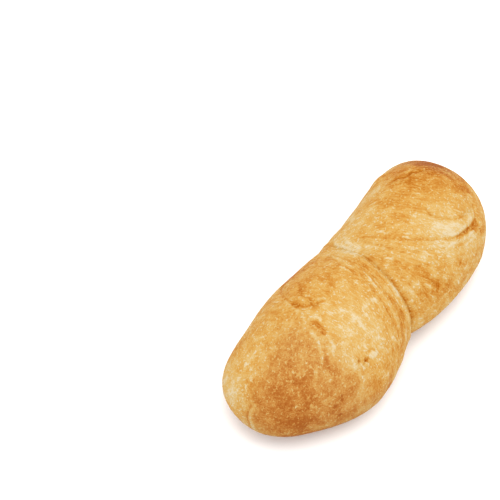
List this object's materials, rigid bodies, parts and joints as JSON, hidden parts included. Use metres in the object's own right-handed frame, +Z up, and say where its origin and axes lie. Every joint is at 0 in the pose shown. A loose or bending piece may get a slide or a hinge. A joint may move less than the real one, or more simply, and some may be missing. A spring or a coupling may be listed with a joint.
{
  "type": "double dinner roll",
  "caption": "Soft double dinner roll of joined oval lobes, with a golden-brown, finely wrinkled crust and a flat base to rest on.",
  "frame": {"origin": "middle of the bounding box in plan, on the surface that the roll rests on", "axes": "+X along the roll, from the front lobe over the crease to the back lobe; +Z up"},
  "size_m": [0.1756, 0.0744, 0.0518],
  "materials": {
    "crust": "baked wheat crust, golden brown, satin, with fine wrinkles and pale flecks"
  },
  "bodies": {
    "root": {"roll": "crust"}
  },
  "joints": []
}
